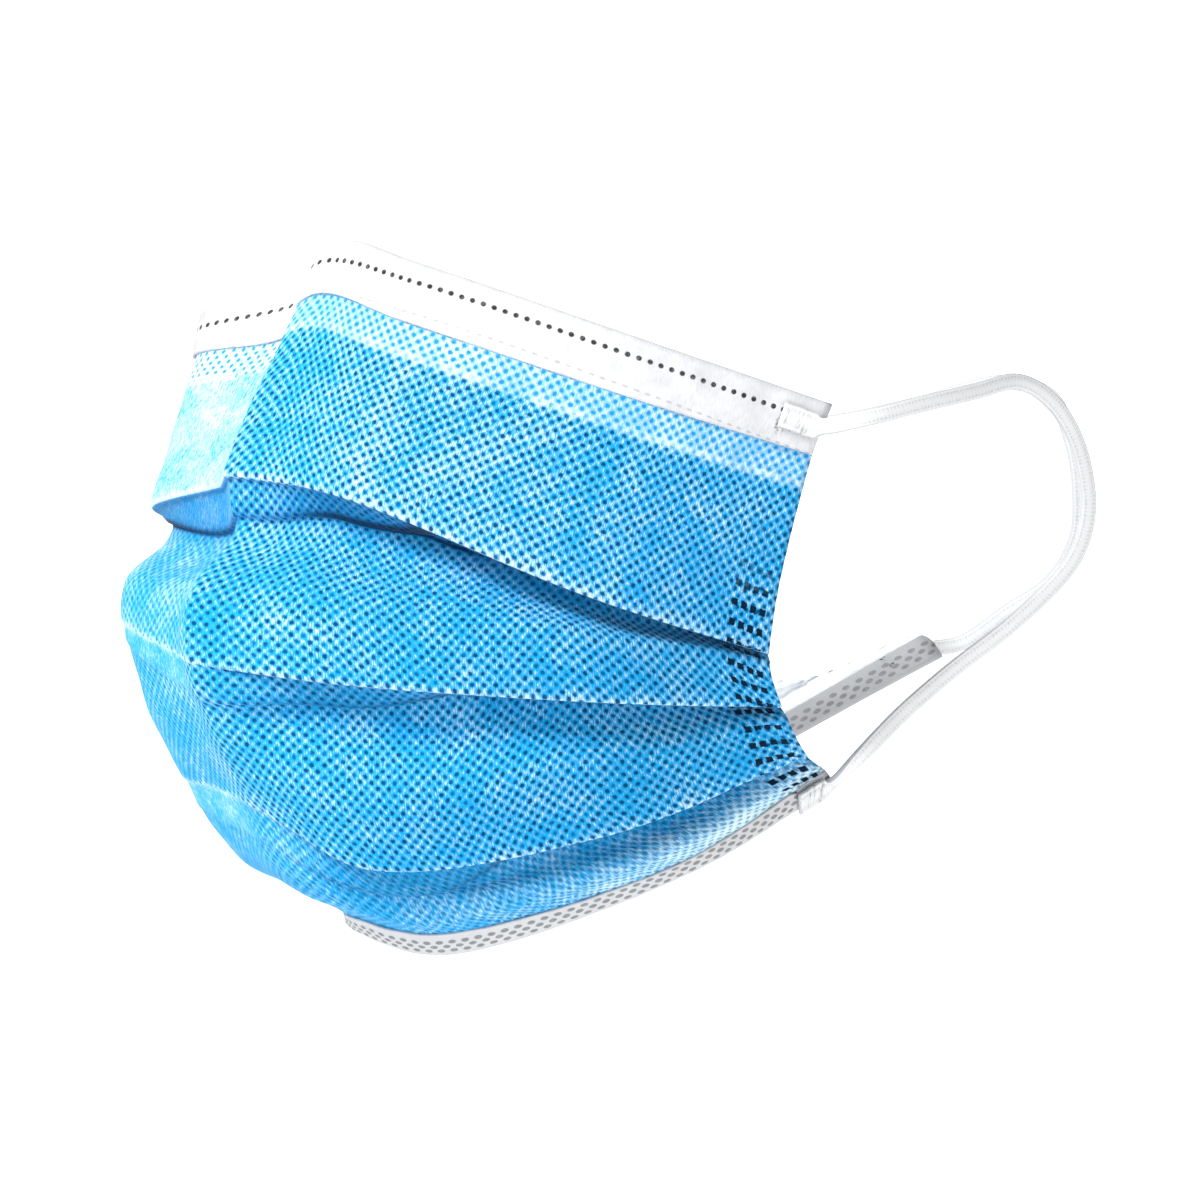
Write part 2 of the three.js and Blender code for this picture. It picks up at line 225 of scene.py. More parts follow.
view = {
    "azimuth": 70,
    "distance": 900,  # millimetres, as the next two
    "aim": (12.28, 33.75, -50.56),
    "widthAtAim": 169.0,
    "sensor": 36,
    "clip": (0.01, 50),  # metres
}
studio = {
    "worldStrength": 0.3,
    "lamps": [
        # azimuth, elevation, distance in metres, size in metres, power in watts
        ("keyLamp", 8, 44, 0.9, 0.3, 11.0),
        ("fillLamp", 95, -5, 1.2, 0.7, 3.3),
    ],
    "lampsAim": (0, 40, -50),  # millimetres
    "floorColour": (0.7, 0.7, 0.7, 1),
    "floorGlow": 0.95,  # the floor and backdrop away from the mask are lit evenly on their own
    # painted shade: the floor glows less near the mask, so it is darker round and under it
    "glowFrom": (0.05, 0.3),  # metres from the mask
    "floorDrop": 0.06,  # metres from the lowest point of the mask down to the floor
    "floorMiddle": 0.03,
    "floorSize": 3.0,
    "sweepRadius": 0.9,
    "sweepSteps": 24,
}


def toFrame(place):
    return Vector([(value - origin) * millimetre for value, origin in zip(place, seat)])


def direction(azimuth, elevation=0):
    # from the mask to a camera or lamp
    turn, tilt = math.radians(azimuth), math.radians(elevation)
    level = math.cos(tilt)
    return Vector((math.sin(turn) * level, -math.cos(turn) * level, math.sin(tilt)))


def aimed(data, centre, away, distance):
    made = bpy.data.objects.new(data.name, data)
    made.location = centre + away * distance
    made.rotation_euler = (-away).to_track_quat("-Z", "Y").to_euler()
    bpy.context.collection.objects.link(made)
    return made


def makeCamera():
    data = bpy.data.cameras.new("photoCamera")
    data.sensor_width = view["sensor"]
    data.lens = view["sensor"] * view["distance"] / view["widthAtAim"]
    data.clip_start, data.clip_end = view["clip"]
    distance = view["distance"] * millimetre
    camera = aimed(data, toFrame(view["aim"]), direction(view["azimuth"]), distance)
    bpy.context.scene.camera = camera


def makeLights():
    centre = toFrame(studio["lampsAim"])
    for name, azimuth, elevation, distance, size, power in studio["lamps"]:
        data = bpy.data.lights.new(name, "AREA")
        data.shape = "DISK"
        data.size = size
        data.energy = power
        aimed(data, centre, direction(azimuth, elevation), distance)
    world = bpy.data.worlds.new("softRoom")
    world.use_nodes = True
    background = world.node_tree.nodes["Background"]
    background.inputs["Color"].default_value = (1, 1, 1, 1)
    background.inputs["Strength"].default_value = studio["worldStrength"]
    bpy.context.scene.world = world
    bpy.context.scene.view_settings.view_transform = "Standard"


makeCamera()
makeLights()
print("camera and lamps placed")


# Materials

class Signal:
    # a socket of a material, with the arithmetic of its values

    def __init__(self, finish, socket):
        self.finish = finish
        self.socket = socket

    def __add__(self, other):
        return self.finish.arithmetic("ADD", self, other)

    def __radd__(self, other):
        return self.finish.arithmetic("ADD", other, self)

    def __sub__(self, other):
        return self.finish.arithmetic("SUBTRACT", self, other)

    def __rsub__(self, other):
        return self.finish.arithmetic("SUBTRACT", other, self)

    def __mul__(self, other):
        return self.finish.arithmetic("MULTIPLY", self, other)

    def __rmul__(self, other):
        return self.finish.arithmetic("MULTIPLY", other, self)

    def __truediv__(self, other):
        return self.finish.arithmetic("DIVIDE", self, other)

    def __rtruediv__(self, other):
        return self.finish.arithmetic("DIVIDE", other, self)

    def size(self):
        return self.finish.arithmetic("ABSOLUTE", self)

    def root(self):
        return self.finish.arithmetic("SQRT", self)

    def larger(self, other):
        return self.finish.arithmetic("MAXIMUM", self, other)

    def smaller(self, other):
        return self.finish.arithmetic("MINIMUM", self, other)

    def step(self, low, high):
        return self.finish.node("ShaderNodeMapRange", {"interpolation_type": "SMOOTHSTEP"}, {
            "Value": self, "From Min": low, "From Max": high, "To Min": 0.0, "To Max": 1.0,
        })

    def offMiddle(self, pitch, shift=0.0):
        # how far this is from the middle of its cell, in a row of cells one pitch long
        share = self.finish.arithmetic("FRACT", self / pitch + shift)
        return (share - 0.5).size() * pitch


class Finish:
    # a material whose nodes are made by one call each

    def __init__(self, name, **constants):
        self.material = bpy.data.materials.new(name)
        self.material.use_nodes = True
        self.tree = self.material.node_tree
        self.surface = self.tree.nodes["Principled BSDF"]
        for socket, value in constants.items():
            self.surface.inputs[socket.replace("_", " ")].default_value = value

    def node(self, kind, settings=None, inputs=None, output=0):
        made = self.tree.nodes.new(kind)
        for name, value in (settings or {}).items():
            setattr(made, name, value)
        for name, value in (inputs or {}).items():
            socket = made.inputs[name]
            if isinstance(value, Signal):
                self.tree.links.new(value.socket, socket)
            else:
                socket.default_value = value
        return Signal(self, made.outputs[output])

    def arithmetic(self, operation, *terms):
        return self.node("ShaderNodeMath", {"operation": operation}, dict(enumerate(terms)))

    def flatPlace(self):
        # the place on the flat cloth in millimetres, from its UV map, and its two values
        place = self.node("ShaderNodeUVMap", {"uv_map": "flat"})
        across = self.node("ShaderNodeSeparateXYZ", None, {0: place})
        return place, across, Signal(self, across.socket.node.outputs[1])

    def grade(self, name):
        # a value between 0 and 1 that the mesh gives for each point
        return self.node("ShaderNodeAttribute", {"attribute_name": name}, None, output=2)

    def noise(self, place, scale, detail=2.0, roughness=0.5):
        return self.node("ShaderNodeTexNoise", {"noise_dimensions": "3D"}, {
            "Vector": place, "Scale": scale, "Detail": detail, "Roughness": roughness,
        })

    def grain(self, place, scaling, detail=2.0, roughness=0.5, turn=0.0):
        # noise that is stretched by its own scale along each axis, and turned
        stretched = self.node("ShaderNodeMapping", None, {
            "Vector": place, "Scale": scaling, "Rotation": (0.0, 0.0, turn),
        })
        return self.noise(stretched, 1.0, detail, roughness)

    def blend(self, share, one, other):
        return self.node("ShaderNodeMix", {"data_type": "RGBA"}, {0: share, 6: one, 7: other}, output=2)

    def feed(self, socket, signal):
        self.tree.links.new(signal.socket, self.surface.inputs[socket])

    def bump(self, height, strength, distance):
        self.feed("Normal", self.node("ShaderNodeBump", None, {
            "Height": height, "Strength": strength, "Distance": distance,
        }))


clothLook = {
    "fibreBlue": (0.005, 0.33, 0.71, 1),
    "paleBlue": (0.66, 0.85, 0.91, 1),
    "dotBlue": (0.0, 0.05, 0.15, 1),
    "lighterDot": (0.0, 0.15, 0.4, 1),
    "weldBlue": (0.0, 0.012, 0.035, 1),
    "foldShadow": (0.0, 0.06, 0.17, 1),
    "deepShadow": (0.0, 0.012, 0.04, 1),
    "deepFrom": (0.6, 1.0),  # the shade of a fold at which its shadow turns to the deep one
    "deepWeight": 0.8,
    # the dots, in millimetres
    "dotPitch": 1.65,
    "dotEdge": (0.2, 0.4),
    "dotStart": 0.45,
    "wanderScale": (0.35, 0.35, 1),
    "wander": 0.5,
    "raggedScale": 2.6,
    "ragged": 0.2,
    "unevenScale": (0.75, 0.75, 1),
    "uneven": 0.16,
    "lighterFrom": (0.4, 0.7),
    "dotWeight": 0.97,
    # how pale the fibres are
    "fibreScale": (6.0, 0.8, 1),
    "fibreTurns": (0.6, -0.7),
    "fibreMiddle": 0.57,
    "fibreWeight": 3.2,
    "patchScale": (0.13, 0.13, 1),
    "patchWeight": 1.3,
    "raggedWeight": 0.6,
    "between": (0.35, 0.8),  # the cloth stands up between the dots
    "betweenWeight": 0.5,
    # where the dots are painted faint, the cloth is painted paler, as sheen
    "calmPale": 0.2,
    "paleFrom": (-0.1, 1.0),
    # the painted shadow under the pleats hides the pale fibres
    "foldHidesPale": 0.8,
    # the lighter strip under the top hem, with a broken pale line across it
    "paleZone": 5.2,
    "zoneSoft": 0.6,
    "zoneLine": 4.5,
    "zoneLineEdge": (0.2, 0.8),
    "zoneLineGaps": (0.35, 0.65),
    "zoneFuzzScale": (0.7, 0.7, 1),
    "zoneFuzz": 1.5,
    "zoneWhite": (0.76, 0.93, 0.98, 1),
    "zoneDot": (0.005, 0.27, 0.66, 1),
    "zoneWeight": 0.25,
    "zoneLineWeight": 0.35,
    "zonePaleWeight": 0.4,
    "lineHidesDots": 0.7,
    # dots painted faint where sheen washes them out
    "calmHidesDots": 0.95,
    # the welds at both side edges
    "weldColumns": 4,
    "weldPitch": 1.5,
    "weldRow": 2.75,
    "weldSlant": 0.15,
    "weldFromEdge": 1.1,
    "weldBandSoft": 0.05,
    "weldEdge": (0.42, 0.56),
    "weldRagged": 0.4,
    "weldsBegin": 14.0,  # how far below the top hem they start to press through
    "weldsFadeIn": 8.0,
    "faintWeld": 0.12,
    # how far each stands up or is pressed in
    "fibreRelief": 0.3,
    "dotRelief": 0.9,
    "betweenRelief": 0.35,
    "relief": 0.7,
    "reliefDepth": 0.00016,
}


def fromMark(across, down, pitchAcross, pitchDown, shift):
    # how far the nearest mark of a grid is, in millimetres
    u = across.offMiddle(pitchAcross, shift)
    v = down.offMiddle(pitchDown, shift)
    return (u * u + v * v).root()


def fromDot(across, down):
    # how far the nearest dot is: they stand in two grids, half a pitch apart
    pitch = clothLook["dotPitch"]
    return fromMark(across, down, pitch, pitch, 0.0).smaller(fromMark(across, down, pitch, pitch, 0.5))


def weldMarks(across, down, rows, ragged):
    # small squares in a few columns along both side edges
    fromSide = across.smaller(flatWidth - across)
    inColumns = fromSide - clothLook["weldFromEdge"]
    reach = clothLook["weldColumns"] * clothLook["weldPitch"]
    soft = clothLook["weldBandSoft"]
    band = inColumns.step(-soft, soft) * (1 - inColumns.step(reach - soft, reach + soft))
    offAcross = inColumns.offMiddle(clothLook["weldPitch"])
    offDown = (rows + fromSide * clothLook["weldSlant"]).offMiddle(clothLook["weldRow"])
    apart = offAcross.larger(offDown) + ragged * clothLook["weldRagged"]
    begin, faint = clothLook["weldsBegin"], clothLook["faintWeld"]
    clear = faint + down.step(begin, begin + clothLook["weldsFadeIn"]) * (1 - faint)
    return band * (1 - apart.step(*clothLook["weldEdge"])) * clear


def blueFinish():
    look = Finish(
        "blueNonWoven", Roughness=0.8, Specular_IOR_Level=0.08,
        Sheen_Weight=0.1, Sheen_Roughness=0.45, Sheen_Tint=(0.62, 0.88, 1.0, 1),
    )
    place, across, down = look.flatPlace()
    # grades from the mesh: painted light, dots painted faint by sheen, and painted shadow under the
    # pleats
    paler, calm, paintedFoldShade = (look.grade(name) for name in ("paler", "calm", "paintedFoldShade"))
    wander = (look.grain(place, clothLook["wanderScale"]) - 0.5) * clothLook["wander"]
    rows = down - wander - clothLook["dotStart"]
    far = fromDot(across + wander, rows)
    ragged = look.noise(place, clothLook["raggedScale"]) - 0.5
    uneven = look.grain(place, clothLook["unevenScale"], 1.0)
    roughly = far + ragged * clothLook["ragged"] + (uneven - 0.5) * clothLook["uneven"]
    dots = 1 - roughly.step(*clothLook["dotEdge"])

    oneWay, otherWay = (
        look.grain(place, clothLook["fibreScale"], 3.0, 0.6, turn) for turn in clothLook["fibreTurns"]
    )
    fibres = oneWay.larger(otherWay)
    patches = look.grain(place, clothLook["patchScale"], 5.0, 0.68)
    between = far.step(*clothLook["between"])
    # painted sheen: paler where the dots are painted faint
    pale = between * clothLook["betweenWeight"] * (1 - calm) + calm * clothLook["calmPale"]
    pale = pale + (fibres - clothLook["fibreMiddle"]) * clothLook["fibreWeight"]
    pale = pale + (patches - 0.5) * clothLook["patchWeight"] + ragged * clothLook["raggedWeight"]
    # the painted light and shade of each place are added here, and the painted shadow under the pleats
    # hides the pale fibres
    pale = (pale + paler).step(*clothLook["paleFrom"]) * (1 - paintedFoldShade * clothLook["foldHidesPale"])
    colour = look.blend(pale, clothLook["fibreBlue"], clothLook["paleBlue"])

    strayed = down + (look.grain(place, clothLook["zoneFuzzScale"], 3.0) - 0.5) * clothLook["zoneFuzz"]
    zoneEnd, soft = clothLook["paleZone"], clothLook["zoneSoft"]
    inZone = 1 - strayed.step(zoneEnd - soft, zoneEnd + soft)
    onLine = 1 - (strayed - clothLook["zoneLine"]).size().step(*clothLook["zoneLineEdge"])
    onLine = onLine * patches.step(*clothLook["zoneLineGaps"])
    whiter = onLine * clothLook["zoneLineWeight"] + pale * clothLook["zonePaleWeight"]
    colour = look.blend(inZone * (clothLook["zoneWeight"] + whiter), colour, clothLook["zoneWhite"])

    dotColour = look.blend(
        uneven.step(*clothLook["lighterFrom"]), clothLook["dotBlue"], clothLook["lighterDot"],
    )
    dotColour = look.blend(inZone, dotColour, clothLook["zoneDot"])
    pressed = clothLook["dotWeight"] - inZone * onLine * clothLook["lineHidesDots"]
    # dots painted faint by sheen, except in the strip under the hem
    pressed = dots * pressed * (1 - calm * (1 - inZone) * clothLook["calmHidesDots"])
    colour = look.blend(pressed, colour, dotColour)
    # painted shadow under the pleats, deepest in the crease
    colour = look.blend(paintedFoldShade, colour, clothLook["foldShadow"])
    deep = paintedFoldShade.step(*clothLook["deepFrom"]) * clothLook["deepWeight"]
    colour = look.blend(deep, colour, clothLook["deepShadow"])

    welds = weldMarks(across, down, rows, ragged)
    look.feed("Base Color", look.blend(welds, colour, clothLook["weldBlue"]))
    raised = fibres * clothLook["fibreRelief"] + between * clothLook["betweenRelief"]
    height = raised - pressed * clothLook["dotRelief"] - welds
    look.bump(height, clothLook["relief"], clothLook["reliefDepth"])
    return look.material


insideLook = {
    "white": (0.88, 0.9, 0.91, 1),
    "shade": (0.80, 0.83, 0.87, 1),
    "dot": (0.55, 0.68, 0.8, 1),
    "dotEdge": (0.2, 0.45),
    "dotWeight": 0.35,
    "fibreScale": (6.0, 0.9, 1),
    "fibreTurn": 0.5,
    "fibreRelief": 0.3,
    "dotRelief": 0.6,
}


def insideFinish():
    look = Finish("whiteNonWovenInside", Roughness=0.85, Specular_IOR_Level=0.2)
    place, across, down = look.flatPlace()
    dots = 1 - fromDot(across, down).step(*insideLook["dotEdge"])
    fibres = look.grain(place, insideLook["fibreScale"], 3.0, 0.6, insideLook["fibreTurn"])
    colour = look.blend(fibres, insideLook["shade"], insideLook["white"])
    look.feed("Base Color", look.blend(dots * insideLook["dotWeight"], colour, insideLook["dot"]))
    look.bump(fibres * insideLook["fibreRelief"] - dots * insideLook["dotRelief"], 0.4, 0.0001)
    return look.material


hemLook = {
    "white": (0.72, 0.73, 0.75, 1),
    # painted shade: the bottom hem's white is darker, as it faces down
    "shadedChinWhite": (0.6, 0.61, 0.62, 1),
    "shade": (0.54, 0.55, 0.57, 1),
    "mark": (0.03, 0.03, 0.035, 1),
    "markEdge": (0.75, 1.15),  # as shares of the mark's own size
    "fibreScale": (5.0, 0.9, 1),
    "fibreTurn": 0.5,
    "fibreWeight": 0.5,
    "patchScale": (0.25, 0.25, 1),
    "patchWeight": 0.6,
    "shadeFrom": (0.3, 0.8),
    "unevenScale": 1.7,
    "leastMark": 0.6,
    "unevenMark": 0.75,
    # the grey, crumpled line round the welded end of each ear loop
    "tabEnd": 6.4,
    "tabMiddle": 4.3,
    "tabLine": (0.3, 1.1),
    "tabReach": (1.6, 2.6),
    "crumpleScale": (1.1, 1.1, 1),
    "crumple": (0.46, 0.6),
    "tabDark": 0.9,
    # painted shade: the folded edge is a little greyer, and so is the far side
    "edgeLine": (0.0, 0.45),
    "edgePaintedShade": 0.2,
    "nextToEdge": (0.2, 1.5),
    "nextPaintedShade": 0.06,
    "farShares": (0.44, 0.5),
    "farPaintedShade": 0.3,
}

# Rows of marks: how far from the hem's folded edge, pitch, half breadth, half height, shift and darkness
topRows = [
    (3.1, 1.65, 0.42, 0.4, 0.0, 1.0),
    (7.6, 1.65, 0.45, 0.16, 0.5, 0.3),
]
bottomRows = [
    (1.3, 2.0, 0.62, 0.34, 0.0, 0.62),
    (2.1, 2.0, 0.62, 0.34, 0.5, 0.62),
    (2.9, 2.0, 0.62, 0.34, 0.0, 0.62),
]


def rowOfMarks(across, down, row):
    at, pitch, wide, high, shift, dark = row
    u = across.offMiddle(pitch, shift) / wide
    v = (down - at) / high
    return (1 - (u * u + v * v).root().step(*hemLook["markEdge"])) * dark


def hemFinish(name, rows, white):
    look = Finish(name, Roughness=0.8, Specular_IOR_Level=0.15)
    place, across, down = look.flatPlace()
    fibres = look.grain(place, hemLook["fibreScale"], 3.0, 0.6, hemLook["fibreTurn"])
    patches = look.grain(place, hemLook["patchScale"], 3.0, 0.6)
    clean = fibres * hemLook["fibreWeight"] + patches * hemLook["patchWeight"]
    colour = look.blend(clean.step(*hemLook["shadeFrom"]), hemLook["shade"], white)
    marks = rowOfMarks(across, down, rows[0])
    for row in rows[1:]:
        marks = marks.larger(rowOfMarks(across, down, row))
    uneven = look.noise(place, hemLook["unevenScale"]) * hemLook["unevenMark"]
    marks = marks * (hemLook["leastMark"] + uneven).smaller(1.0)
    fromSide = across.smaller(flatWidth - across)
    aroundTab = 1 - (fromSide - hemLook["tabEnd"]).size().step(*hemLook["tabLine"])
    onTab = 1 - (down - hemLook["tabMiddle"]).size().step(*hemLook["tabReach"])
    crumpled = look.grain(place, hemLook["crumpleScale"], 4.0, 0.7).step(*hemLook["crumple"])
    farFrom, farTo = (share * flatWidth for share in hemLook["farShares"])
    # the crumpled line round each tab is the hem's own; the greyer folded edge, the strip next to it and
    # the far side are painted shade
    for shade in (
        aroundTab * onTab * crumpled * hemLook["tabDark"],
        (1 - down.step(*hemLook["edgeLine"])) * hemLook["edgePaintedShade"],
        (1 - down.step(*hemLook["nextToEdge"])) * hemLook["nextPaintedShade"],
        (1 - across.step(farFrom, farTo)) * hemLook["farPaintedShade"],
    ):
        marks = marks.larger(shade)
    look.feed("Base Color", look.blend(marks, colour, hemLook["mark"]))
    look.bump(fibres * 0.3 + patches * 0.5 - marks, 0.5, 0.00015)
    return look.material


strapLook = {
    "white": (0.74, 0.75, 0.76, 1),
    "groove": (0.45, 0.46, 0.48, 1),
    "melted": (0.03, 0.03, 0.035, 1),
    "ribs": 5,
    "ribWeight": 0.45,
    "stitch": 0.55,
    "stitchSlant": 0.35,
    "stitchWeight": 0.25,
    "fuzzScale": (4.0, 4.0, 4),
    "cleanFrom": (0.1, 0.6),
    # painted shade: the rounded sides of the strap are greyer
    "side": (0.22, 0.38),  # the rounded side of the strap is greyer, as shares of its width
    "sidePaintedShade": 0.8,
    "meltScale": (0.9, 0.9, 1),
    "meltFrom": (0.52, 0.66),
    "meltDark": 0.5,
}


def strapFinish():
    look = Finish("elasticKnit", Roughness=0.72, Specular_IOR_Level=0.3, Sheen_Weight=0.15)
    place, across, down = look.flatPlace()
    width, stitch = mask["strapWidth"], strapLook["stitch"]
    rib = width / strapLook["ribs"]
    ribs = across.offMiddle(rib) / (rib / 2)
    slanted = down + ribs * (strapLook["stitchSlant"] * stitch)
    stitches = slanted.offMiddle(stitch) / (stitch / 2)
    fuzz = look.grain(place, strapLook["fuzzScale"], 3.0, 0.6)
    knit = (1 - ribs) * strapLook["ribWeight"] + stitches * strapLook["stitchWeight"]
    # painted shade on the rounded sides of the strap
    side = (across.offMiddle(width) / width).step(*strapLook["side"])
    clean = (knit * 0.6 + fuzz * 0.6).step(*strapLook["cleanFrom"]) * (1 - side * strapLook["sidePaintedShade"])
    colour = look.blend(clean, strapLook["groove"], strapLook["white"])
    melted = look.grain(place, strapLook["meltScale"], 4.0, 0.7).step(*strapLook["meltFrom"])
    melted = melted * look.grade("tab") * strapLook["meltDark"]
    look.feed("Base Color", look.blend(melted, colour, strapLook["melted"]))
    look.bump(knit * 0.5 + fuzz * 0.4, 0.35, 0.00015)
    return look.material


wireLook = {
    "drawnScale": (900.0, 60.0, 900.0),
    "dark": (0.55, 0.56, 0.58, 1),
    "light": (0.8, 0.81, 0.83, 1),
    "roughness": (0.25, 0.55),
}


def wireFinish():
    look = Finish("bareAluminium", Metallic=1.0)
    coordinates = look.node("ShaderNodeTexCoord", None, None, output="Object")
    drawn = look.grain(coordinates, wireLook["drawnScale"], 3.0)
    smooth, rough = wireLook["roughness"]
    look.feed("Base Color", look.blend(drawn, wireLook["dark"], wireLook["light"]))
    look.feed("Roughness", drawn * (rough - smooth) + smooth)
    return look.material


def floorFinish():
    look = Finish(
        "paleFloor", Base_Color=studio["floorColour"], Roughness=0.9, Specular_IOR_Level=0.1,
        Emission_Strength=studio["floorGlow"],
    )
    place = look.node("ShaderNodeTexCoord", None, None, output="Object")
    away = look.node("ShaderNodeVectorMath", {"operation": "LENGTH"}, {0: place}, output=1)
    # no glow near the mask: painted shade on the floor round and under it
    lit = away.step(*studio["glowFrom"])
    look.feed("Emission Color", look.blend(lit, (0.0, 0.0, 0.0, 1), (1.0, 1.0, 1.0, 1)))
    return look.material


# Meshes

def layMesh(name, points, faces, flats, materials, kinds, grades=None):
    # points in the part's own millimetres, flats a UV pair for each corner of each face, kinds each
    # face's material number, grades a value for each point under each name
    mesh = bpy.data.meshes.new(name)
    places = (np.asarray(points).reshape(-1, 3) - seat) * millimetre
    mesh.from_pydata(places.tolist(), [], np.asarray(faces).tolist())
    layer = mesh.uv_layers.new(name="flat")
    layer.data.foreach_set("uv", np.asarray(flats, np.float32).ravel())
    for material in materials:
        mesh.materials.append(material)
    mesh.polygons.foreach_set("material_index", np.asarray(kinds, np.int32))
    mesh.polygons.foreach_set("use_smooth", np.ones(len(faces), bool))
    for grade, values in (grades or {}).items():
        layer = mesh.attributes.new(grade, "FLOAT", "POINT")
        layer.data.foreach_set("value", np.asarray(values, np.float32).ravel())
    mesh.validate()
    mesh.update()
    made = bpy.data.objects.new(name, mesh)
    bpy.context.collection.objects.link(made)
    return made


def gridNormals(middle):
    downwards = np.gradient(middle, axis=1)
    across = np.gradient(middle, axis=0)
    return unit(np.cross(downwards, across))


def sheetMesh(name, middle, thickness, flatAcross, flatBefore, flatAfter, outside, inside, grades=None):
    # a sheet with two sides and a rim; each strip of it runs from flatBefore to flatAfter down the cloth
    count, steps = middle.shape[:2]
    normals = gridNormals(middle)
    half = thickness / 2
    outer, inner = middle + normals * half, middle - normals * half
    points = np.concatenate([outer.reshape(-1, 3), inner.reshape(-1, 3)])
    ids = np.arange(count * steps).reshape(count, steps)
    back = ids + count * steps
    a, b, c, d = ids[:-1, :-1], ids[:-1, 1:], ids[1:, 1:], ids[1:, :-1]
    quads = np.stack([a, b, c, d], -1).reshape(-1, 4)
    wide = np.broadcast_to(flatAcross[:, None], (count, steps - 1))
    corners = np.stack([
        np.stack([wide[:-1], flatBefore[:-1]], -1), np.stack([wide[:-1], flatAfter[:-1]], -1),
        np.stack([wide[1:], flatAfter[1:]], -1), np.stack([wide[1:], flatBefore[1:]], -1),
    ], -2).reshape(-1, 4, 2)
    faces = [quads, (quads + count * steps)[:, ::-1]]
    flats = [corners, corners[:, ::-1]]
    kinds = [np.zeros(len(quads), int), np.ones(len(quads), int)]
    border = np.concatenate([ids[:, 0], ids[-1, 1:], ids[-2::-1, -1], ids[0, -2:0:-1]])
    nearer = back.ravel()[border]
    after = np.roll(border, -1)
    rim = np.stack([border, after, np.roll(nearer, -1), nearer], -1)
    flatAt = np.stack([
        np.broadcast_to(flatAcross[:, None], (count, steps)),
        np.concatenate([flatBefore, flatAfter[:, -1:]], 1),
    ], -1).reshape(-1, 2)
    faces.append(rim)
    flats.append(np.stack([flatAt[border], flatAt[after], flatAt[after], flatAt[border]], 1))
    kinds.append(np.ones(len(rim), int))
    twice = {grade: np.tile(values.ravel(), 2) for grade, values in (grades or {}).items()}
    return layMesh(
        name, points, np.concatenate(faces), np.concatenate(flats), [outside, inside],
        np.concatenate(kinds), twice,
    )


clothShape = {
    "stationsPerColumn": 24,
    "thickness": 0.45,
    "layerStep": 0.95,
    "easedBy": 0.65,  # the share of a panel over which it comes up from its pleat
    "firstRow": 2.4,  # how far the cloth's first row is from its upper edge
    "topRows": 10,
    "panelRows": 9,
    "chinRows": 13,
    "samplesPerPoint": 3,
}

lines = np.linspace(0, lastColumn, lastColumn * clothShape["stationsPerColumn"] + 1)
cloth = Cloth(lines)


def flatAcrossLines():
    # how far across the flat cloth each line is: the mean of its distances along all folds
    rows = np.stack([cloth.points[:, i * downSteps] for i in range(len(foldNames))])
    steps = np.linalg.norm(np.diff(rows, axis=1), axis=-1).mean(axis=0)
    return np.concatenate([[0], np.cumsum(steps)])


flatAcross = flatAcrossLines()
flatWidth = float(flatAcross[-1])


def pleatTurns(fold):
    # control points of one pleat's two turns, for every line
    edge = cloth.down(fold)
    tuck = easedRow(tucks[fold], lines) * mask["pleatTuck"]
    closed = smoothStep(tuck, 0, mask["pleatTuck"] / 2)
    layered = smoothStep(tuck, -mask["pleatTuck"] / 2, 0)
    ledge = easedRow(ledges[fold], lines) * mask["pleatLedge"]
    depth = np.maximum(ledge, 2 * clothShape["layerStep"] * layered)
    step = np.minimum(clothShape["layerStep"], depth / 2)
    valley = edge - tuck
    turn = clothShape["layerStep"] / 2
    spread = turn * (1 - step / clothShape["layerStep"])  # a pleat that is nearly flat has no sharp turn
    points = [
        (edge - turn, 0 * edge),
        (edge - turn * 0.3, -step * 0.15),
        (edge, -step / 2),
        (edge - turn * closed + spread, -step),
        (mixed(edge, valley, 0.5), -depth / 2),
        (valley + turn * closed - spread, -depth + step),
        (valley, -depth + step / 2),
        (valley + turn, -depth),
    ]
    return {"edge": edge, "valley": valley, "depth": depth, "tuck": tuck, "points": points}


def clothControls():
    # the section of the pleated cloth at every line, as distances down and out, and each point's panel
    turns = [pleatTurns(fold) for fold in tucks]
    half = mask["clothThickness"] / 2
    downs, outs, panels = [], [], []

    def put(down, out, panel):
        downs.append(np.broadcast_to(down, lines.shape))
        outs.append(np.broadcast_to(out, lines.shape))
        panels.append(panel)

    firstStop = turns[0]["edge"] - np.maximum(turns[0]["tuck"], 0) - layerStep
    for share in np.linspace(0, 1, clothShape["topRows"]):
        put(mixed(hemEnd + clothShape["firstRow"], firstStop, share), 0.0, 0)
    for i, pleat in enumerate(turns):
        for k, (down, out) in enumerate(pleat["points"]):
            put(down, out, i if k < 2 else i + 1)
        start = np.maximum(pleat["edge"], pleat["valley"] + layerStep) + half
        if i + 1 < len(turns):
            following = turns[i + 1]
            stop = following["edge"] - np.maximum(following["tuck"], 0) - layerStep
            rows = clothShape["panelRows"]
        else:
            stop = cloth.down("chinLine")
            rows = clothShape["chinRows"]
        stop = np.maximum(stop, start + layerStep)
        full = mixed(start, stop, clothShape["easedBy"])
        for share in np.linspace(0, 1, rows):
            at = mixed(start, stop, share)
            eased = (at - start) / (full - start)
            put(at, -pleat["depth"] * (1 - smoothStep(eased, 0, 1)), i + 1)
    end = cloth.down("bottomEdge") - hemEnd
    put(mixed(cloth.down("chinLine"), end, 0.5), 0.0, len(turns))
    put(end, 0.0, len(turns))
    return np.stack(downs, 1), np.stack(outs, 1), np.array(panels)


noseCrease = {
    # the sharp fold over the nose: its column at each fold of the cloth, and its height in millimetres
    "columns": [3.55, 3.58, 3.66, 3.86, 3.95, 4, 4, 4],
    "heights": [0.9, 1.3, 2.0, 1.6, 0.3, 0, 0, 0],
    "halfWidth": 0.52,  # in columns
}


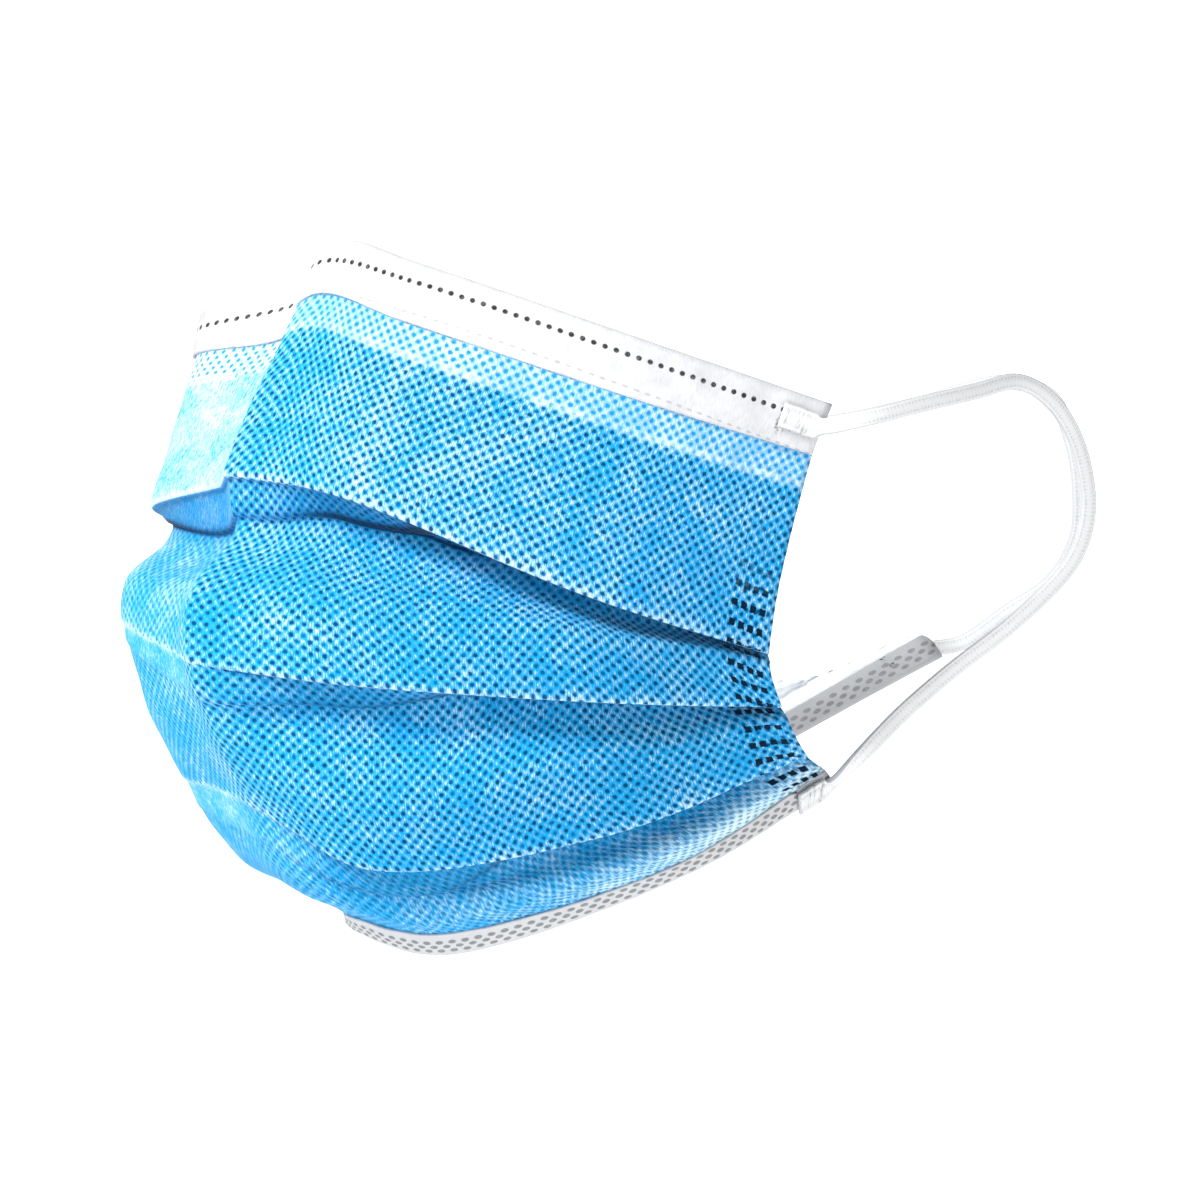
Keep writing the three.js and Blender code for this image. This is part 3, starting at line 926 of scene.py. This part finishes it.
def fromCrease(down):
    # how many columns each place is from the nose fold, and how high the fold is there
    folded = np.stack([cloth.down(fold) for fold in foldNames], 1)
    apart, height = np.empty_like(down), np.empty_like(down)
    for i in range(len(lines)):
        apart[i] = lines[i] - np.interp(down[i], folded[i], noseCrease["columns"])
        height[i] = np.interp(down[i], folded[i], noseCrease["heights"])
    return apart, height


def creased(down):
    # how far the nose fold lifts the cloth out
    apart, height = fromCrease(down)
    return height * np.clip(1 - np.abs(apart) / noseCrease["halfWidth"], 0, 1)


paintedLight = {
    # painted light and shade on the cloth, and dots painted faint where sheen washes them out; a row of
    # four has a value for each panel
    # painted light: each panel is a little lighter or darker, as the light falls on it
    "panelPaintedLight": [-0.04, -0.06, -0.08, -0.05],
    # on the chin the dots are painted faint, as sheen washes them out
    "allCalm": [0.0, 0.0, 0.0, 0.45],  # how faint the dots are
    # painted light: the first panel is paler in the middle of its near side
    "middlePaintedLight": 0.16,
    "middleColumn": 5.3,
    "middleSpread": 2,
    # painted light and sheen: beyond the nose fold the dots are painted faint and the cloth is painted
    # paler
    "farCalm": [0.92, 0.5, 0.35, 0.0],
    "farPaintedLight": [0.36, 0.22, 0.08, 0.0],
    "calmEdge": [0.06, 0.06, 0.6, 1],  # how softly the dots begin again, in columns
    "calmFrom": (1.2, 2.2),  # in columns
    # painted light: the near side of the chin is paler, as if lit from below
    "chinPaintedLight": 0.75,
    "chinFrom": (5, 6.6),  # in columns
    "chinBelow": 1,  # millimetres below the last pleat
    # a painted highlight, a paler line, runs along the edge of each pleat
    "edgePaintedHighlight": 0.4,
    "edgeWidth": 0.55,
    "edgeOut": (0.15, 0.8),
    # the shadow under each pleat, in millimetres, and how dark it is at each column
    "foldAbove": 1,
    "foldFade": 1.7,
    "foldLine": 0.4,
    "wallShade": 0.6,
    "lineShade": 0.5,
    "shadeRows": {
        "pleat1": [0.5, 0.6, 1, 0.7, 0.3, 0.9, 1, 0.6],
        "pleat2": [0.5, 0.4, 0.1, 0, 0.1, 0.65, 0.75, 0.6],
        "pleat3": [0.5, 0.4, 0.1, 0, 0.1, 0.5, 0.75, 0.6],
    },
}


def clothGrades(down, out, panelAt):
    # painted light and shade, and dots painted faint by sheen, for every point of the cloth
    def eachPanel(name):
        return np.array(paintedLight[name])[panelAt]

    paintedEdgeHighlight, paintedFoldShade, onWall = (np.zeros_like(down) for _ in range(3))
    shallow = 1 - smoothStep(-out, *paintedLight["edgeOut"])
    for panel, fold in enumerate(tucks, 1):
        pleat = pleatTurns(fold)
        edge = pleat["edge"][:, None]
        # painted highlight along the edge of each pleat
        paintedEdgeHighlight += np.exp(-((down - edge) / paintedLight["edgeWidth"]) ** 2) * shallow
        # painted shadow under each pleat, darkest along the crease
        below = down - np.maximum(pleat["edge"], pleat["valley"])[:, None]
        line = paintedLight["lineShade"] * np.exp(-((below / paintedLight["foldLine"]) ** 2))
        dark = paintedLight["wallShade"] * np.exp(-np.maximum(below, 0) / paintedLight["foldFade"])
        weight = easedRow(paintedLight["shadeRows"][fold], lines)[:, None]
        here = (panelAt == panel) & (down > edge - paintedLight["foldAbove"])
        paintedFoldShade += here * (dark + line) * weight
        onWall += here & (below < 0)
    apart = fromCrease(down)[0]
    # beyond the nose fold the cloth is painted paler and its dots painted faint
    beyond = smoothStep(-apart / eachPanel("calmEdge"), 0, 1)
    beyond = beyond * smoothStep(lines, *paintedLight["calmFrom"])[:, None]
    # dots painted faint by sheen and shade: beyond the nose fold, on the shaded pleat walls there, and
    # on the chin
    calm = np.maximum(eachPanel("farCalm"), onWall) * beyond + eachPanel("allCalm")
    # painted light in the middle of the first panel's near side
    middle = np.exp(-paintedLight["middleSpread"] * (lines - paintedLight["middleColumn"]) ** 2)[:, None]
    # painted light on the near side of the chin
    chinTop, chinEnd = cloth.down("pleat3")[:, None] + paintedLight["chinBelow"], cloth.down("chinLine")[:, None]
    chin = smoothStep(down, chinTop, chinEnd) * smoothStep(lines, *paintedLight["chinFrom"])[:, None]
    # painted light and shade added up for each point
    paler = eachPanel("panelPaintedLight") + paintedEdgeHighlight * paintedLight["edgePaintedHighlight"]
    paler = paler + eachPanel("farCalm") * beyond * eachPanel("farPaintedLight")
    paler = paler + (panelAt == 0) * middle * paintedLight["middlePaintedLight"]
    paler = paler + (panelAt == len(tucks)) * chin * paintedLight["chinPaintedLight"]
    return {"paler": paler, "calm": np.clip(calm, 0, 1), "paintedFoldShade": np.clip(paintedFoldShade, 0, 1)}


puckerShape = {
    "depth": 0.132,
    "reach": 9.0,  # how fast the gathers fade away from the side edges, in millimetres
    # height, waves down, waves from the side, and where they begin
    "gathers": [(1.0, 2.1, 0.35, 0.0), (0.6, 3.7, -0.5, 1.0)],
    # waves down and waves across
    "swells": [(0.55, 0.13), (-0.17, 0.21)],
}


def puckers(down):
    # fine gathers near the side edges, where the pleats are welded flat, and a faint unevenness
    across = flatAcross[:, None]
    fromSide = np.minimum(across, flatWidth - across)
    wave, slow = np.zeros_like(down), np.ones_like(down)
    for height, downwards, sideways, begin in puckerShape["gathers"]:
        wave = wave + height * np.sin(down * downwards + fromSide * sideways + begin)
    for downwards, sideways in puckerShape["swells"]:
        slow = slow * np.sin(down * downwards + across * sideways)
    return puckerShape["depth"] * (np.exp(-fromSide / puckerShape["reach"]) * wave + slow)


def makeCloth():
    downs, outs, panels = clothControls()
    section = np.stack([downs, outs], -1).transpose(1, 0, 2)
    shares = np.linspace(0, 1, (len(section) - 1) * clothShape["samplesPerPoint"] + 1)
    fine = splineThrough(section, shares).transpose(1, 0, 2)
    finePanels = panels[np.minimum((shares * (len(section) - 1) + 0.5).astype(int), len(section) - 1)]
    down, out = fine[..., 0], fine[..., 1]
    middle = cloth.lay(down, out + puckers(down) + creased(down))
    run = np.linalg.norm(np.diff(middle, axis=1), axis=-1)
    # on the flat cloth the panels follow each other down, whatever they do at their pleats
    flatBefore, flatAfter = np.empty_like(run), np.empty_like(run)
    base = float(down[:, 0].mean()) - float(cloth.down("hemLine").mean())
    for panel in range(len(tucks) + 1):
        strips = np.flatnonzero(finePanels[1:] == panel)
        walked = np.cumsum(run[:, strips], axis=1)
        if panel == 0:
            start = down[:, :1] - cloth.down("hemLine")[:, None]
        else:
            start = np.full((len(lines), 1), base)
        flatAfter[:, strips] = start + walked
        flatBefore[:, strips] = start + walked - run[:, strips]
        base = float((start + walked[:, -1:]).mean())
    made = sheetMesh(
        "clothBody", middle, clothShape["thickness"], flatAcross, flatBefore, flatAfter,
        blueFinish(), insideFinish(), clothGrades(down, out, finePanels),
    )
    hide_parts("mask_body")
    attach(made, "root")
    print("cloth faces:", len(made.data.polygons))
    print("cloth as laid, mm:", round(flatWidth, 1), "across and", round(base, 1), "down")
    return made


hemShape = {
    "out": 0.78,
    "lineOut": 0.42,  # the hem lies close to the cloth at its free edge
    "closesIn": 2.2,
    "thickness": 0.34,
    "wallPoints": 18,
    "crownPoints": 9,
    "rippleDepth": 0.05,
    "rippleAcross": 0.9,
    "rippleDown": 0.8,
    "rippleSlant": 0.1,
}


def hemSection(edge, line, towards, lines):
    # down the outside of the hem, round its folded edge and back inside; towards is 1 for a top edge
    out = hemShape["out"]
    downs, outs = [], []

    def wall(share):
        at = mixed(line, edge + towards * out, share)
        lifted = smoothStep(np.abs(at - line), 0, hemShape["closesIn"])
        return at, mixed(hemShape["lineOut"], out, lifted)

    for share in np.linspace(0, 1, hemShape["wallPoints"]):
        at, away = wall(share)
        downs.append(at)
        outs.append(away)
    for turn in np.linspace(0, math.pi, hemShape["crownPoints"])[1:-1]:
        downs.append(edge + towards * out * (1 - math.sin(turn)))
        outs.append(np.full(lines.shape, out * math.cos(turn)))
    for share in np.linspace(1, 0, hemShape["wallPoints"]):
        at, away = wall(share)
        downs.append(at)
        outs.append(-away)
    return np.stack(downs, 1), np.stack(outs, 1)


def makeHem(name, edgeFold, lineFold, towards, rows, white):
    edge = cloth.down(edgeFold)
    down, out = hemSection(edge, cloth.down(lineFold), towards, lines)
    if towards > 0:
        down, out = down[:, ::-1], out[:, ::-1]
    across = flatAcross[:, None]
    ripple = np.sin(down * hemShape["rippleDown"] + across * hemShape["rippleSlant"])
    ripple = ripple * np.sin(across * hemShape["rippleAcross"]) * hemShape["rippleDepth"]
    out = out + np.sign(out) * ripple + creased(np.abs(down))
    middle = cloth.lay(down, out)
    flatDown = np.abs(down - edge[:, None])
    made = sheetMesh(
        name, middle, hemShape["thickness"], flatAcross, flatDown[:, :-1], flatDown[:, 1:],
        hemFinish(name + "White", rows, white), hemFinish(name + "Inner", rows, white),
    )
    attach(made, "root")
    return made


strapShape = {
    "stations": 220,
    "routeSteps": 3000,
    "thickness": 0.95,
    "tabThickness": 0.6,
    "thickens": (3, 7),  # millimetres from the end
    "ring": 20,
    "onHem": 1.45,  # how far out from the cloth's middle the welded ends lie
    "ribs": 4,
    "ribDepth": 0.05,
    "squareness": 0.45,
}


def strapRing(wide, thick):
    # one section of the strap: a flat rounded band with shallow ribs along it
    angles = np.linspace(0, 2 * math.pi, strapShape["ring"], endpoint=False)
    across = np.sign(np.cos(angles)) * np.abs(np.cos(angles)) ** strapShape["squareness"]
    out = np.sign(np.sin(angles)) * np.abs(np.sin(angles)) ** strapShape["squareness"]
    ribs = 1 + strapShape["ribDepth"] * np.cos(across * math.pi * strapShape["ribs"])
    return across * wide / 2, out * thick / 2 * ribs


def makeEarLoop(name, node, edgeColumn, route, flatWay):
    inwards = 1 if edgeColumn == 0 else -1
    weldLines = Cloth([edgeColumn + inwards * share for share in weldShares])

    def onHem(upper, lower, out):
        down = (weldLines.down(upper) + weldLines.down(lower)) / 2
        return weldLines.lay(down[:, None], np.full((len(weldShares), 1), out))[:, 0]

    start = onHem("topEdge", "hemLine", strapShape["onHem"])
    end = onHem("chinLine", "bottomEdge", strapShape["onHem"])[::-1]
    faces = [
        unit(onHem(upper, lower, 1.0) - onHem(upper, lower, 0.0))[1]
        for upper, lower in (("topEdge", "hemLine"), ("chinLine", "bottomEdge"))
    ]
    places = np.concatenate([start, np.array(route) * shareScale, end])
    dense = splineThrough(places, np.linspace(0, 1, strapShape["routeSteps"]))
    walked = np.concatenate([[0], np.cumsum(np.linalg.norm(np.diff(dense, axis=0), axis=1))])
    length = walked[-1]
    stops = np.linspace(0, length, strapShape["stations"])
    middle = np.stack([np.interp(stops, walked, dense[:, k]) for k in range(3)], -1)
    along = unit(np.gradient(middle, axis=0))
    fromEnd = np.minimum(stops, length - stops)
    free = smoothStep(fromEnd, mask["tabLength"], mask["twistLength"])[:, None]
    nearest = np.where((stops < length / 2)[:, None], faces[0], faces[1])
    face = mixed(nearest, np.array(flatWay, float), free)
    across = unit(np.cross(face, along))
    out = unit(np.cross(along, across))
    narrow = smoothStep(fromEnd, mask["tabLength"] - mask["tabTaper"], mask["tabLength"])
    wide = mixed(mask["tabWidth"], mask["strapWidth"], narrow)
    thickens = smoothStep(fromEnd, *strapShape["thickens"])
    thick = mixed(strapShape["tabThickness"], strapShape["thickness"], thickens)
    rings = []
    for i in range(len(stops)):
        sideways, outwards = strapRing(wide[i], thick[i])
        rings.append(middle[i] + across[i] * sideways[:, None] + out[i] * outwards[:, None])
    points = np.concatenate(rings)
    count, ring = len(stops), strapShape["ring"]
    faceList, flats = [], []
    for i in range(count - 1):
        for k in range(ring):
            here, after = i * ring, (i + 1) * ring
            following = (k + 1) % ring
            faceList.append((here + k, here + following, after + following, after + k))
            one, two = k / ring * 2 * mask["strapWidth"], (k + 1) / ring * 2 * mask["strapWidth"]
            flats.append(((one, stops[i]), (two, stops[i]), (two, stops[i + 1]), (one, stops[i + 1])))
    # both ends are closed by strips across the ring
    for first, reverse in ((0, True), ((count - 1) * ring, False)):
        for k in range(ring // 2 - 1):
            strip = (first + k, first + k + 1, first + ring - 2 - k, first + ring - 1 - k)
            faceList.append(strip[::-1] if reverse else strip)
            flats.append(((0, 0), (1, 0), (1, 1), (0, 1)))
    tabEnd, taper = mask["tabLength"], mask["tabTaper"]
    tab = np.repeat(1 - smoothStep(fromEnd, tabEnd - taper, tabEnd + taper), ring)
    kinds = np.zeros(len(faceList), int)
    made = layMesh(name, points, faceList, flats, [strapMaterial], kinds, {"tab": tab})
    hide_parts(node)
    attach(made, "root")
    print(name, "length mm", round(float(length), 1))
    return made


body = makeCloth()
topHem = makeHem("topHem", "topEdge", "hemLine", 1, topRows, hemLook["white"])
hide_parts("top_hem")
# the bottom hem takes the darker white, painted shade
bottomHem = makeHem("bottomHem", "bottomEdge", "chinLine", -1, bottomRows, hemLook["shadedChinWhite"])
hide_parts("bottom_hem")
print("hems folded")

strapMaterial = strapFinish()
makeEarLoop("earLoopLeft", "ear_loop_left", lastColumn, nearLoop, (1, 0, 0))
makeEarLoop("earLoopRight", "ear_loop_right", 0, farLoop, (-1, 0, 0))


def dressWire():
    wire = bpy.data.objects["nose_wire"]
    wire.data.materials.clear()
    wire.data.materials.append(wireFinish())


dressWire()


def makeFloor():
    # a pale floor that sweeps up into the backdrop, away from the camera
    away = -direction(view["azimuth"])
    side = direction(view["azimuth"] + 90)
    low = cadBounds[0][2] - studio["floorDrop"]
    centre = Vector((0, studio["floorMiddle"], low))
    radius, reach = studio["sweepRadius"], studio["floorSize"]
    profile = [(-reach, 0.0), (reach / 2, 0.0)]
    for i in range(1, studio["sweepSteps"] + 1):
        bend = math.radians(90) * i / studio["sweepSteps"]
        profile.append((reach / 2 + radius * math.sin(bend), radius * (1 - math.cos(bend))))
    profile.append((reach / 2 + radius, reach))
    points, faces = [], []
    for i, (back, up) in enumerate(profile):
        for sign in (-1, 1):
            spot = centre + away * back + side * sign * reach + Vector((0, 0, up))
            points.append(spot)
        if i:
            faces.append((2 * i - 2, 2 * i - 1, 2 * i + 1, 2 * i))
    mesh = bpy.data.meshes.new("floorSweep")
    mesh.from_pydata([tuple(p) for p in points], [], faces)
    mesh.polygons.foreach_set("use_smooth", np.ones(len(faces), bool))
    mesh.materials.append(floorFinish())
    floor = bpy.data.objects.new("floorSweep", mesh)
    bpy.context.collection.objects.link(floor)


makeFloor()
print("floor laid")
